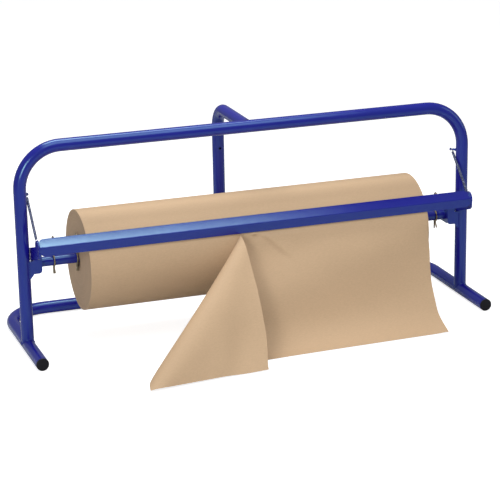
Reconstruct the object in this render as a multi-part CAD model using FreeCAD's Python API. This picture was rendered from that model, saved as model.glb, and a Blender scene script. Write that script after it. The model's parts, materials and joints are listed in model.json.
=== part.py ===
import FreeCAD, Part
import math
import os

# Wrapping paper cutter: bent tube frame, paper roll on a cross shaft, sprung
# cutter bar, half torn sheet. Millimetres. X to the right, Y to the rear, Z up.
# Origin: on the table, midway between the two uprights and in their plane.

V = FreeCAD.Vector

# ---- driving dimensions -----------------------------------------------------
TUBE_D = 32.0          # outer diameter of all frame tubes
WALL = 1.5             # wall of the frame tubes
HALF_W = 594.0         # upright axis from the middle
H_AXIS = 519.0         # axis height of the top bar
BEND_R = 105.0         # centreline radius of the frame bends
Y_REAR = 264.5         # axis of the rear cross bar
Y_FRONT = -157.0       # front end of the foot tubes
CAP_T = 4.0            # head of an end plug
POST_X = 5.0           # rear post
POST_BEND_R = 58.0
POST_ARM_Z = 514.0
POST_ARM_Y = 28.0      # front end of the arm's tube
HOLE_D = 6.5           # hole through the rear post
HOLE_Z = 403.0

SHAFT_D = 25.0         # cross shaft
SHAFT_WALL = 1.5
SHAFT_Y = 16.0
SHAFT_Z = 221.3
SHAFT_HALF = 568.0
CLIP_HOLE_D = 4.6

ROLL_R = 127.0
ROLL_HALF = 451.0
ROLL_Y = SHAFT_Y
ROLL_Z = 215.8
CORE_WALL = 4.0
CORE_CLEAR = 0.08      # core bore hangs on the shaft with this clearance
CORE_IR = SHAFT_D / 2 + (SHAFT_Z - ROLL_Z) + CORE_CLEAR
CORE_OR = CORE_IR + CORE_WALL
CORE_PROUD = 1.0       # core stands proud of the paper at each end

PIV_Y = 0.0            # cutter pivot
PIV_Z = 250.0
PIN_D = 8.0
RUN_CLEAR = 0.05       # radial running clearance of the pin in its bush
BUSH_OD = 12.0
ARM_IN = 573.0         # inner face of a cutter arm, from the middle
ARM_T = 4.0
ARM_R = 16.0           # half width of a cutter arm
ARM_F = (-87.0, 276.6) # centre of the arm's front end (y, z)

BAR_T = 2.5            # cutter bar sheet thickness
BAR_P1 = (-78.0, 309.0)    # rear upper edge (y, z)
BAR_P2 = (-105.3, 294.7)   # fold
BAR_P3 = (-102.0, 271.3)   # lower tearing edge
BAR_END_R = 13.0       # rounded lower corners of the front face
TOP_END_R = 15.0       # rounded rear corners of the top face
NOSE = (-85.5, 289.3)  # round front end of an arm, behind the bar's fold (y, z)
NOSE_R = 18.6

BRK_IN = 550.0         # inner face of a bracket's cheek, from the middle
BRK_T = 3.0
BRK_Y = -12.0          # front face of a bracket
BRK_Z0 = 200.5

SPR_X = 573.8
SPR_TOP = (20.0, 397.0)
EAR = (-78.5, 301.0)   # hole in the arm for the spring's lower ring (y, z)
RING_T = 3.4           # ring hooks of the spring, centreline radius
RING_B = 4.0
SPR_R = 3.5            # outer radius of the spring's coil

PAPER_T = 0.6          # stand-in thickness of the loose sheet
SHEET_GAP = 0.3
SHEET_XR = 446.0
TEAR_X = -57.0         # the tear ends here
SHEET_A0 = 137.0       # angle round the roll where the sheet leaves its windings

TR = TUBE_D / 2
FOOT_Z = TR

os.makedirs("parts", exist_ok=True)


# ---- helpers ----------------------------------------------------------------
def save(name, shape):
    if shape.ShapeType == "Compound" and len(shape.Solids) == 1:
        shape = shape.Solids[0]
    shape.exportStep("parts/%s.step" % name)
    print("%-20s solids %d valid %s volume %.1f" % (
        name, len(shape.Solids), shape.isValid(), shape.Volume))


def ring(pos, direction, ro, ri=0.0):
    f = Part.Face(Part.Wire(Part.makeCircle(ro, pos, direction)))
    if ri > 0:
        f = f.cut(Part.Face(Part.Wire(Part.makeCircle(ri, pos, direction))))
        f = f.Faces[0]
    return f


def fillet_path(pts, radii):
    """Runs and tangent arcs through the corner points."""
    pts = [V(*p) for p in pts]
    out = []
    start = pts[0]
    for i in range(1, len(pts) - 1):
        a, b, c = pts[i - 1], pts[i], pts[i + 1]
        d1 = b - a
        d1.normalize()
        d2 = c - b
        d2.normalize()
        ang = math.acos(max(-1.0, min(1.0, d1.dot(d2))))
        r = radii[i - 1]
        t = r * math.tan(ang / 2)
        s = b - d1 * t
        e = b + d2 * t
        nrm = d1.cross(d2)
        nrm.normalize()
        centre = s + nrm.cross(d1) * r
        out.append(("line", start, s))
        out.append(("arc", s, centre, nrm, math.degrees(ang)))
        start = e
    out.append(("line", start, pts[-1]))
    return out


def pipe(segments, ro, ri=0.0):
    """Round bar or tube along runs and arcs, built run by run."""
    solids = []
    for s in segments:
        if s[0] == "line":
            d = s[2] - s[1]
            if d.Length < 1e-6:
                continue
            u = V(d.x, d.y, d.z)
            u.normalize()
            solids.append(ring(s[1], u, ro, ri).extrude(d))
        else:
            _, p, c, n, ang = s
            rad = p - c
            u = n.cross(rad)
            u.normalize()
            solids.append(ring(p, u, ro, ri).revolve(c, n, ang))
    out = solids[0]
    if len(solids) > 1:
        out = solids[0].multiFuse(solids[1:])
    return out


def yz_prism(points, x0, x1):
    """Closed outline in the YZ plane, extruded along X."""
    w = Part.makePolygon([V(x0, y, z) for y, z in points] + [V(x0, *points[0])])
    return Part.Face(w).extrude(V(x1 - x0, 0, 0))


def xcyl(x0, x1, y, z, r):
    return Part.makeCylinder(r, x1 - x0, V(x0, y, z), V(1, 0, 0))


def mirror_x(shape):
    return shape.mirror(V(0, 0, 0), V(1, 0, 0))


def both(name, shape):
    """shape is the right-hand piece; the left one is its mirror image."""
    save(name + "_right", shape)
    save(name + "_left", mirror_x(shape))


# ---- top frame: inverted U, coped onto the feet -------------------------------
foot_cope = Part.makeCylinder(TR, 400, V(HALF_W, -200, FOOT_Z), V(0, 1, 0))
foot_cope_l = Part.makeCylinder(TR, 400, V(-HALF_W, -200, FOOT_Z), V(0, 1, 0))
u_path = fillet_path(
    [(-HALF_W, 0, FOOT_Z), (-HALF_W, 0, H_AXIS), (HALF_W, 0, H_AXIS), (HALF_W, 0, FOOT_Z)],
    [BEND_R, BEND_R])
top = pipe(u_path, TR, TR - WALL)
top = top.cut(foot_cope).cut(foot_cope_l)
# keep only the piece above the feet
top = max(top.Solids, key=lambda s: s.Volume)
for sx in (1, -1):
    # pin hole in the inner wall of each upright
    top = top.cut(xcyl(min(sx * 560, sx * 590), max(sx * 560, sx * 590), PIV_Y, PIV_Z, PIN_D / 2))
    # hole of the spring stud
    d = V(-sx * (HALF_W - SPR_X), SPR_TOP[0], 0)
    d.normalize()
    top = top.cut(Part.makeCylinder(3.0, 24, V(sx * HALF_W, 0, SPR_TOP[1]), d))
save("top_frame", top)

# ---- base frame: flat U ---------------------------------------------------------
b_path = fillet_path(
    [(-HALF_W, Y_FRONT, FOOT_Z), (-HALF_W, Y_REAR, FOOT_Z), (HALF_W, Y_REAR, FOOT_Z), (HALF_W, Y_FRONT, FOOT_Z)],
    [BEND_R, BEND_R])
save("base_frame", pipe(b_path, TR, TR - WALL))

# ---- rear post --------------------------------------------------------------------
p_path = fillet_path(
    [(POST_X, Y_REAR, FOOT_Z), (POST_X, Y_REAR, POST_ARM_Z), (POST_X, POST_ARM_Y, POST_ARM_Z)],
    [POST_BEND_R])
post = pipe(p_path, TR, TR - WALL)
post = post.cut(Part.makeCylinder(TR, 200, V(-100, Y_REAR, FOOT_Z), V(1, 0, 0)))
post = max(post.Solids, key=lambda s: s.Volume)
post = post.cut(Part.makeCylinder(HOLE_D / 2, 60, V(POST_X, Y_REAR - 30, HOLE_Z), V(0, 1, 0)))
save("rear_post", post)


# ---- end plugs -----------------------------------------------------------------
def plug(centre, direction, ro, ri, head, depth, ribs=3):
    """Domed head outside, ribbed shank inside; direction points outwards."""
    prof = [V(0, 0, -depth), V(ri - 1.5, 0, -depth), V(ri - 0.5, 0, -depth + 2)]
    step = (depth - 4.0) / ribs
    z = -depth + 2
    for i in range(ribs):
        prof += [V(ri, 0, z + step * 0.3), V(ri, 0, z + step * 0.55), V(ri - 0.8, 0, z + step)]
        z += step
    prof += [V(ri - 0.8, 0, 0), V(ro, 0, 0), V(ro, 0, head - 2.2), V(ro - 0.8, 0, head - 0.8),
             V(ro - 2.6, 0, head), V(0, 0, head)]
    f = Part.Face(Part.makePolygon(prof + [prof[0]]))
    s = f.revolve(V(0, 0, 0), V(0, 0, 1), 360)
    s.Placement = FreeCAD.Placement(centre, FreeCAD.Rotation(V(0, 0, 1), direction))
    return s


both("foot_cap", plug(V(HALF_W, Y_FRONT, FOOT_Z), V(0, -1, 0), TR, TR - WALL, CAP_T, 22))
save("post_cap", plug(V(POST_X, POST_ARM_Y, POST_ARM_Z), V(0, -1, 0), TR, TR - WALL, CAP_T, 22))

# ---- bracket: bent sheet, front flange and slotted cheek ---------------------------
# front flange, outline in XZ
r_c = 8.0
fl = [(BRK_IN, 262.0), (BRK_IN, BRK_Z0 + r_c)]
for i in range(1, 6):
    a = math.radians(180 + 90 * i / 5.0)
    fl.append((BRK_IN + r_c + r_c * math.cos(a), BRK_Z0 + r_c + r_c * math.sin(a)))
fl += [(570.5, BRK_Z0), (579.5, 189.0), (588.0, 189.0), (588.0, 234.0), (570.5, 234.0), (570.5, 262.0)]
w = Part.makePolygon([V(x, BRK_Y, z) for x, z in fl] + [V(fl[0][0], BRK_Y, fl[0][1])])
flange = Part.Face(w).extrude(V(0, BRK_T, 0))
# cheek, outline in YZ, with the slot that lets the shaft out to the rear
SLOT_R = SHAFT_D / 2 + 0.25
SLOT_A = math.radians(20.0)
CHK_REAR = SHAFT_Y + 30.0
cheek = yz_prism([(BRK_Y, 209.0), (BRK_Y + 3, 204.5), (BRK_Y + 8, 202.5), (CHK_REAR - 4, 202.5), (CHK_REAR, 206.5),
                  (CHK_REAR, 262.0), (CHK_REAR - 6, 268.0), (BRK_Y + 6, 268.0), (BRK_Y, 262.0)],
                 BRK_IN, BRK_IN + BRK_T)
sd = V(0, math.cos(SLOT_A), math.sin(SLOT_A))
su = V(0, -math.sin(SLOT_A), math.cos(SLOT_A))
seat = V(BRK_IN - 1, SHAFT_Y, SHAFT_Z)
slot = Part.makeCylinder(SLOT_R, BRK_T + 2, seat, V(1, 0, 0))
c1 = seat + su * SLOT_R
c2 = seat - su * SLOT_R
quad = Part.makePolygon([c1, c1 + sd * 60, c2 + sd * 60, c2, c1])
slot = slot.fuse(Part.Face(quad).extrude(V(BRK_T + 2, 0, 0)))
bracket = flange.fuse(cheek).cut(slot)
bracket = bracket.cut(Part.makeCylinder(TR, 120, V(HALF_W, 0, 160), V(0, 0, 1)))
bracket = bracket.cut(xcyl(BRK_IN - 1, BRK_IN + BRK_T + 1, PIV_Y, PIV_Z, PIN_D / 2))
bracket = bracket.removeSplitter()
both("bracket", bracket)

# ---- pivot pin: head inside the cheek, end in the wall of the upright ---------------
pin = xcyl(BRK_IN - 0.01, HALF_W - TR + WALL + 2.0, PIV_Y, PIV_Z, PIN_D / 2)
head = Part.makeCylinder(7.0, 4.0, V(BRK_IN - 4.0, PIV_Y, PIV_Z), V(1, 0, 0))
head = head.makeChamfer(1.0, [e for e in head.Edges if abs(e.BoundBox.XMin - (BRK_IN - 4)) < 1e-3 and abs(e.BoundBox.XMax - (BRK_IN - 4)) < 1e-3])
both("pivot_pin", pin.fuse(head).removeSplitter())

# spacer tube on the pin, between cheek and arm
spacer = xcyl(BRK_IN + BRK_T, ARM_IN - 1.0, PIV_Y, PIV_Z, 7.0).cut(
    xcyl(BRK_IN, ARM_IN, PIV_Y, PIV_Z, PIN_D / 2))
both("pivot_spacer", spacer)

# ---- spring stud on the upright ---------------------------------------------------
sdir = V(-(HALF_W - SPR_X), SPR_TOP[0], 0)
reach = sdir.Length
sdir.normalize()
o = V(HALF_W, 0, SPR_TOP[1])
stud = Part.makeCylinder(3.0, reach - 2.9 - 13.0, o + sdir * 13.0, sdir)
stud = stud.fuse(Part.makeCylinder(4.2, 1.6, o + sdir * (TR + 0.3), sdir))
stud = stud.fuse(Part.makeCylinder(1.9, 6.0, o + sdir * (reach - 3.0), sdir))
stud = stud.fuse(Part.makeCylinder(3.8, 1.8, o + sdir * (reach + 2.9), sdir))
both("spring_stud", stud.removeSplitter())


# ---- cutter bar ---------------------------------------------------------------------
def unit(a, b):
    dx, dz = b[0] - a[0], b[1] - a[1]
    n = math.hypot(dx, dz)
    return dx / n, dz / n


def offset_line(p, q, t):
    """Shift of p and q by t to the side of the roll."""
    ux, uz = unit(p, q)
    nx, nz = -uz, ux
    return (p[0] + nx * t, p[1] + nz * t), (q[0] + nx * t, q[1] + nz * t)


def cross(p1, p2, p3, p4):
    d1 = (p2[0] - p1[0], p2[1] - p1[1])
    d2 = (p4[0] - p3[0], p4[1] - p3[1])
    den = d1[0] * d2[1] - d1[1] * d2[0]
    t = ((p3[0] - p1[0]) * d2[1] - (p3[1] - p1[1]) * d2[0]) / den
    return (p1[0] + d1[0] * t, p1[1] + d1[1] * t)


a1, a2 = offset_line(BAR_P1, BAR_P2, BAR_T)
b2, b3 = offset_line(BAR_P2, BAR_P3, BAR_T)
inner_fold = cross(a1, a2, b2, b3)
bar = yz_prism([BAR_P1, BAR_P2, BAR_P3, b3, inner_fold, a1], -ARM_IN, ARM_IN)
# rounded fold on the outside, eased edges
fold_edges = [e for e in bar.Edges if abs(e.Length - 2 * ARM_IN) < 1e-3
              and abs(e.BoundBox.YMin - BAR_P2[0]) < 1e-3 and abs(e.BoundBox.ZMin - BAR_P2[1]) < 1e-3]
bar = bar.makeFillet(3.0, fold_edges)
# rounded lower corners of the front face
for sx in (1, -1):
    x_c = sx * (ARM_IN - BAR_END_R)
    z_c = BAR_P3[1] - 0.2 + BAR_END_R
    box = Part.makeBox(BAR_END_R + 2, 20, BAR_END_R + 2,
                       V(x_c if sx > 0 else x_c - BAR_END_R - 2, -112, z_c - BAR_END_R - 2))
    cyl = Part.makeCylinder(BAR_END_R, 20, V(x_c, -112, z_c), V(0, 1, 0))
    bar = bar.cut(box.cut(cyl))
# rounded rear corners of the top face
tx, tz = unit(BAR_P1, BAR_P2)
t_dir = V(0, tx, tz)
t_nrm = V(0, -tz, tx)
for sx in (1, -1):
    c_top = V(sx * (ARM_IN - TOP_END_R), BAR_P1[0], BAR_P1[1]) + t_dir * TOP_END_R
    x0 = sx * (ARM_IN - TOP_END_R)
    x1 = sx * (ARM_IN + 2)
    rim = V(0, BAR_P1[0], BAR_P1[1]) - t_dir * 2 - t_nrm * 8
    a_, b_ = min(x0, x1), max(x0, x1)
    q = [rim, rim + t_dir * (TOP_END_R + 2), rim + t_dir * (TOP_END_R + 2) + t_nrm * 16, rim + t_nrm * 16]
    w = Part.makePolygon([V(a_, p.y, p.z) for p in q] + [V(a_, q[0].y, q[0].z)])
    block = Part.Face(w).extrude(V(b_ - a_, 0, 0))
    bar = bar.cut(block.cut(Part.makeCylinder(TOP_END_R, 16, c_top - t_nrm * 8, t_nrm)))
save("cutter_bar", bar)

# ---- cutter arms: flat straps from the bar to the pivot ------------------------------
ax0, ax1 = ARM_IN, ARM_IN + ARM_T
dy, dz = ARM_F[0] - PIV_Y, ARM_F[1] - PIV_Z
n = math.hypot(dy, dz)
ny, nz = -dz / n, dy / n
strap = yz_prism([(PIV_Y + ny * ARM_R, PIV_Z + nz * ARM_R), (ARM_F[0] + ny * ARM_R, ARM_F[1] + nz * ARM_R),
                  (ARM_F[0] - ny * ARM_R, ARM_F[1] - nz * ARM_R), (PIV_Y - ny * ARM_R, PIV_Z - nz * ARM_R)], ax0, ax1)
arm = strap.fuse(xcyl(ax0, ax1, PIV_Y, PIV_Z, ARM_R)).fuse(xcyl(ax0, ax1, ARM_F[0], ARM_F[1], ARM_R))
# web that carries the bar's top face
arm = arm.fuse(xcyl(ax0, ax1, NOSE[0], NOSE[1], NOSE_R))
arm = arm.removeSplitter()
arm = arm.cut(xcyl(ax0 - 1, ax1 + 1, PIV_Y, PIV_Z, BUSH_OD / 2))
arm = arm.cut(xcyl(ax0 - 1, ax1 + 1, EAR[0], EAR[1], 2.4))
both("cutter_arm", arm)

bush = xcyl(ARM_IN - 0.6, ARM_IN + ARM_T + 0.6, PIV_Y, PIV_Z, BUSH_OD / 2)
bush = bush.cut(xcyl(ARM_IN - 1, ARM_IN + ARM_T + 1, PIV_Y, PIV_Z, PIN_D / 2 + RUN_CLEAR))
both("pivot_bush", bush)

# ---- springs: outer envelope of the coil with a ring hook at each end ------------------
t3 = V(SPR_X, SPR_TOP[0], SPR_TOP[1])
h3 = V(ARM_IN + ARM_T / 2, EAR[0], EAR[1])
u = h3 - t3
u.normalize()
nt = sdir - u * sdir.dot(u)
nt.normalize()
ct = t3 + u * 0.35
cb = h3 - u * (RING_B + 0.2)
ring_t = Part.makeTorus(RING_T, 0.65, ct, nt)
ring_b = Part.makeTorus(RING_B, 0.65, cb, u.cross(V(1, 0, 0)))
c0 = ct + u * (RING_T + 3.6)
c1s = cb - u * (RING_B + 0.4)
run = (c1s - c0).Length
coil = Part.makeCylinder(SPR_R, run, c0, u).cut(Part.makeCylinder(SPR_R - 1.3, run - 2.6, c0 + u * 1.3, u))
link = Part.makeCylinder(0.6, 4.3, ct + u * (RING_T + 0.1), u)
spring = coil.fuse(link).fuse(ring_t).fuse(ring_b)
both("spring", spring)

# ---- roll shaft --------------------------------------------------------------------
CLIPS = {"clip_left_outer": -515.0, "clip_left_inner": -455.6, "clip_right_outer": 524.0}
shaft = xcyl(-SHAFT_HALF, SHAFT_HALF, SHAFT_Y, SHAFT_Z, SHAFT_D / 2).cut(
    xcyl(-SHAFT_HALF - 1, SHAFT_HALF + 1, SHAFT_Y, SHAFT_Z, SHAFT_D / 2 - SHAFT_WALL))
for cx in list(CLIPS.values()):
    shaft = shaft.cut(Part.makeCylinder(CLIP_HOLE_D / 2, 60, V(cx, SHAFT_Y, SHAFT_Z - 30), V(0, 0, 1)))
save("roll_shaft", shaft)
both("shaft_plug", plug(V(SHAFT_HALF, SHAFT_Y, SHAFT_Z), V(1, 0, 0), SHAFT_D / 2, SHAFT_D / 2 - SHAFT_WALL, 3.0, 14, 2))

# ---- roll: core and wound paper ----------------------------------------------------
core = xcyl(-ROLL_HALF - CORE_PROUD, ROLL_HALF + CORE_PROUD, ROLL_Y, ROLL_Z, CORE_OR).cut(
    xcyl(-ROLL_HALF - 3, ROLL_HALF + 3, ROLL_Y, ROLL_Z, CORE_IR))
save("core_tube", core)
roll = xcyl(-ROLL_HALF, ROLL_HALF, ROLL_Y, ROLL_Z, ROLL_R).cut(
    xcyl(-ROLL_HALF - 3, ROLL_HALF + 3, ROLL_Y, ROLL_Z, CORE_OR))
save("paper_roll", roll)

# ---- spring clips: straight leg, eye, waisted leg round the shaft --------------------
WIRE = 2.0


def clip(cx):
    def q(uu, z):
        return V(cx, SHAFT_Y - uu, z)
    zs = SHAFT_Z
    ez = zs + 57.0
    segs = [("line", q(0, zs - 34.0), q(0, ez))]
    segs.append(("arc", q(0, ez), q(7.0, ez), V(1, 0, 0), 270.0))
    segs.append(("arc", q(7.0, ez - 7.0), q(7.0, ez - 9.5), V(1, 0, 0), -90.0))
    w_r = SHAFT_D / 2 + WIRE + 0.4
    a = math.radians(50)
    m = w_r / math.cos(a)
    tb = (m - 4.5) * math.tan(math.pi / 2 - a)
    pts = [q(4.5, ez - 9.5), q(4.5, zs + tb), q(m, zs), q(4.5, zs - tb), q(15.5, zs - tb - 13.0)]
    segs += fillet_path(pts, [4.0, w_r, 4.0])
    return segs


def clip_solid(cx):
    segs = clip(cx)
    solids = []
    for s in segs:
        if s[0] == "line":
            dd = s[2] - s[1]
            uu = V(dd.x, dd.y, dd.z)
            uu.normalize()
            solids.append(ring(s[1], uu, WIRE).extrude(dd))
        else:
            _, p, c, nn, ang = s
            rad = p - c
            uu = nn.cross(rad)
            uu.normalize()
            solids.append(ring(p, uu, WIRE).revolve(c, nn, ang))
    return solids[0].multiFuse(solids[1:])


for name, cx in CLIPS.items():
    save(name, clip_solid(cx))

# ---- loose sheet: thin closed solid along its hanging profile -------------------------
r0 = ROLL_R + SHEET_GAP


def on_roll(adeg, r):
    a = math.radians(adeg)
    return (ROLL_Y + r * math.cos(a), ROLL_Z + r * math.sin(a))


# hanging profile below the roll's front, (y, z)
HANG = [(-114.0, 196.0), (-122.0, 168.0), (-134.5, 138.0), (-151.5, 108.0), (-173.0, 79.0),
        (-199.0, 51.5), (-229.5, 27.0), (-262.0, 7.5), (-278.0, 1.6)]


def profile(t):
    outer, inner = [], []
    angs = [SHEET_A0 + i * (180.0 - SHEET_A0) / 10 for i in range(11)]
    for a in angs:
        inner.append(on_roll(a, r0))
        outer.append(on_roll(a, r0 + t))
    pts = [on_roll(180.0, r0)] + HANG
    for i in range(1, len(pts)):
        a = pts[i - 1]
        b = pts[min(i + 1, len(pts) - 1)]
        ux, uz = unit(a, b)
        inner.append(pts[i])
        outer.append((pts[i][0] + uz * t, pts[i][1] - ux * t))
    return outer, inner


outer, inner = profile(PAPER_T)
full = yz_prism(outer + inner[::-1], TEAR_X, SHEET_XR)
# strip that stays under the bar on the torn side
k = 4
strip_o = [on_roll(SHEET_A0 + i * (154.0 - SHEET_A0) / 4, r0 + PAPER_T) for i in range(5)]
strip_i = [on_roll(SHEET_A0 + i * (154.0 - SHEET_A0) / 4, r0) for i in range(5)]
strip = yz_prism(strip_o + strip_i[::-1], -SHEET_XR, TEAR_X)


def plate(p, q, r, t):
    """Triangular plate, thickness t to the front."""
    p, q, r = V(*p), V(*q), V(*r)
    nn = (q - p).cross(r - p)
    nn.normalize()
    if nn.y > 0:
        nn = nn * -1.0
    f = Part.Face(Part.makePolygon([p, q, r, p]))
    return f.extrude(nn * t)


A = (TEAR_X + 1.0, -101.0, 268.0)
BL = (-392.0, -392.0, 2.0)
TL = (-76.0, -354.0, 2.0)
N = (TEAR_X + 1.0, -277.0, 2.0)
back = plate(A, BL, N, PAPER_T)
front = plate((A[0], A[1] - 1.0, A[2]), BL, TL, PAPER_T)
sheet = full.multiFuse([strip, back, front])
sheet = sheet.cut(Part.makeBox(2000, 2000, 20, V(-1000, -1000, -19.0)))
print("sheet solids", len(sheet.Solids))
save("paper_sheet", sheet)
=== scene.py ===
import json
import math
import random

import bmesh
import bpy
import numpy as np
from mathutils import Matrix, Vector


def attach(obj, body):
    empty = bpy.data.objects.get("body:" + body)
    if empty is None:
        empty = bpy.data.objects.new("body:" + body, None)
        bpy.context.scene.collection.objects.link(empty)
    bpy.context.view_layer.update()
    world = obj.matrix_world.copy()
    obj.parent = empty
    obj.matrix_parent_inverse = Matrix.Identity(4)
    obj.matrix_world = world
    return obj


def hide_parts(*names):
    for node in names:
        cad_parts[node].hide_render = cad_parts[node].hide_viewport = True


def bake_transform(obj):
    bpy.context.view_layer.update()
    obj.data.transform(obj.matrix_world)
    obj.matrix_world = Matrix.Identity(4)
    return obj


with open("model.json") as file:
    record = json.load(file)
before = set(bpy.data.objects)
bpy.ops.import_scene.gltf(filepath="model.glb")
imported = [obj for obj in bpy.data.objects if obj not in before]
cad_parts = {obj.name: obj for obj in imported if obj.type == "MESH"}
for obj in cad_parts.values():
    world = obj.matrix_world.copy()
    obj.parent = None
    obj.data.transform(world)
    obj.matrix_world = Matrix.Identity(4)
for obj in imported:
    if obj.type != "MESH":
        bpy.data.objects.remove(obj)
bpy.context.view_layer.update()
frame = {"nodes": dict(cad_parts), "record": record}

rnd = random.Random(7)
scene = bpy.context.scene


# ---------------------------------------------------------------- materials
def principled(name, color, rough, metal=0.0, spec=0.5, coat=0.0, coat_rough=0.1):
    m = bpy.data.materials.new(name)
    m.use_nodes = True
    b = m.node_tree.nodes["Principled BSDF"]
    b.inputs["Base Color"].default_value = (*color, 1.0)
    b.inputs["Roughness"].default_value = rough
    b.inputs["Metallic"].default_value = metal
    b.inputs["Specular IOR Level"].default_value = spec
    b.inputs["Coat Weight"].default_value = coat
    b.inputs["Coat Roughness"].default_value = coat_rough
    return m, m.node_tree, b


def object_coords(nt):
    return nt.nodes.new("ShaderNodeTexCoord").outputs["Object"]


def noise(nt, vec, scale, detail=2.0, rough=0.5, stretch=None):
    if stretch is not None:
        mp = nt.nodes.new("ShaderNodeMapping")
        mp.inputs["Scale"].default_value = stretch
        nt.links.new(vec, mp.inputs["Vector"])
        vec = mp.outputs["Vector"]
    n = nt.nodes.new("ShaderNodeTexNoise")
    n.inputs["Scale"].default_value = scale
    n.inputs["Detail"].default_value = detail
    n.inputs["Roughness"].default_value = rough
    nt.links.new(vec, n.inputs["Vector"])
    return n.outputs["Fac"]


def bump(nt, height, strength, distance, normal=None):
    b = nt.nodes.new("ShaderNodeBump")
    b.inputs["Strength"].default_value = strength
    b.inputs["Distance"].default_value = distance
    nt.links.new(height, b.inputs["Height"])
    if normal is not None:
        nt.links.new(normal, b.inputs["Normal"])
    return b.outputs["Normal"]


def ramp(nt, fac, stops):
    r = nt.nodes.new("ShaderNodeValToRGB")
    els = r.color_ramp.elements
    while len(els) < len(stops):
        els.new(0.5)
    for e, (pos, col) in zip(els, stops):
        e.position = pos
        e.color = (*col, 1.0) if len(col) == 3 else col
    nt.links.new(fac, r.inputs["Fac"])
    return r.outputs["Color"]


def map_range(nt, fac, a, b, c, d):
    n = nt.nodes.new("ShaderNodeMapRange")
    n.inputs["From Min"].default_value = a
    n.inputs["From Max"].default_value = b
    n.inputs["To Min"].default_value = c
    n.inputs["To Max"].default_value = d
    nt.links.new(fac, n.inputs["Value"])
    return n.outputs["Result"]


def shade(c, k):
    return tuple(x * k for x in c)


# blue powder coat: fine orange peel, very slight change of tone
BLUE = (0.012, 0.007, 0.275)
blue, nt, b = principled("blue_coat", BLUE, 0.20, spec=0.76)
b.inputs["IOR"].default_value = 1.54
b.inputs["Specular Tint"].default_value = (0.50, 0.95, 0.98, 1.0)
oc = object_coords(nt)
nt.links.new(ramp(nt, noise(nt, oc, 9.0, 3.0), [(0.3, shade(BLUE, 0.95)), (0.7, shade(BLUE, 1.05))]), b.inputs["Base Color"])
nt.links.new(map_range(nt, noise(nt, oc, 60.0, 2.0), 0.3, 0.7, 0.17, 0.23), b.inputs["Roughness"])
nt.links.new(bump(nt, noise(nt, oc, 900.0, 2.0), 0.06, 0.0004), b.inputs["Normal"])

# moulded black plastic
CAP = (0.004, 0.004, 0.008)
cap, nt, b = principled("cap_plastic", CAP, 0.42, spec=0.28)
oc = object_coords(nt)
nt.links.new(map_range(nt, noise(nt, oc, 300.0, 3.0), 0.3, 0.7, 0.36, 0.5), b.inputs["Roughness"])
nt.links.new(bump(nt, noise(nt, oc, 2600.0, 2.0), 0.12, 0.0002), b.inputs["Normal"])

# zinc plated small parts
zinc, nt, b = principled("zinc_steel", (0.55, 0.54, 0.52), 0.32, metal=1.0)
oc = object_coords(nt)
nt.links.new(ramp(nt, noise(nt, oc, 140.0, 3.0), [(0.25, (0.42, 0.42, 0.42)), (0.75, (0.64, 0.62, 0.58))]), b.inputs["Base Color"])
nt.links.new(map_range(nt, noise(nt, oc, 220.0, 2.0), 0.3, 0.7, 0.26, 0.42), b.inputs["Roughness"])

# spring steel: its dark blue base colour is a painted blue reflection, lighter in random patches
spring_m, nt, b = principled("spring_steel", (0.14, 0.16, 0.30), 0.26, metal=1.0)
oc = object_coords(nt)
nt.links.new(ramp(nt, noise(nt, oc, 200.0, 2.0), [(0.3, (0.12, 0.14, 0.26)), (0.7, (0.30, 0.33, 0.48))]), b.inputs["Base Color"])

# yellow passivated wire of the clips
clip_m, nt, b = principled("clip_steel", (0.52, 0.40, 0.20), 0.28, metal=1.0)
oc = object_coords(nt)
nt.links.new(ramp(nt, noise(nt, oc, 120.0, 3.0), [(0.25, (0.13, 0.11, 0.09)), (0.50, (0.30, 0.24, 0.15)), (0.75, (0.52, 0.46, 0.34))]), b.inputs["Base Color"])

# bearing bushes
nylon, nt, b = principled("bush_nylon", (0.72, 0.71, 0.66), 0.45, spec=0.4)
nt.links.new(map_range(nt, noise(nt, object_coords(nt), 260.0, 2.0), 0.3, 0.7, 0.40, 0.52), b.inputs["Roughness"])

# kraft paper
KRAFT = (0.640, 0.447, 0.276)


def kraft(name, side=1.0):
    m, nt, b = principled(name, KRAFT, 0.62, spec=0.28)
    oc = object_coords(nt)
    fibre = noise(nt, oc, 420.0, 5.0, 0.65, stretch=(0.35, 1.0, 1.0))
    cloud = noise(nt, oc, 5.0, 3.0, 0.55, stretch=(0.45, 1.0, 1.0))
    c1 = ramp(nt, cloud, [(0.3, shade(KRAFT, 0.965)), (0.7, shade(KRAFT, 1.03))])
    c2 = ramp(nt, fibre, [(0.30, (0.93, 0.925, 0.92)), (0.72, (1.03, 1.03, 1.03))])
    mx = nt.nodes.new("ShaderNodeMix")
    mx.data_type = "RGBA"
    mx.blend_type = "MULTIPLY"
    mx.inputs["Factor"].default_value = 1.0
    nt.links.new(c1, mx.inputs["A"])
    nt.links.new(c2, mx.inputs["B"])
    nt.links.new(mx.outputs["Result"], b.inputs["Base Color"])
    nt.links.new(map_range(nt, fibre, 0.3, 0.7, 0.56, 0.7), b.inputs["Roughness"])
    return m, nt, b, oc, fibre, mx.outputs["Result"]


sheet_m, nt, b, oc, fibre, col = kraft("kraft_sheet")
soft = noise(nt, oc, 11.0, 2.0, 0.5, stretch=(0.5, 1.0, 1.0))
n1 = bump(nt, soft, 0.12, 0.010)
nt.links.new(bump(nt, fibre, 0.10, 0.0003, n1), b.inputs["Normal"])

# wound paper: fine rings on the end faces, faint ribs round the outside
roll_m, nt, b, oc, fibre, col = kraft("kraft_roll")
AX_Y, AX_Z = 0.016, 0.2158
sep = nt.nodes.new("ShaderNodeSeparateXYZ")
nt.links.new(oc, sep.inputs["Vector"])


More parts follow.
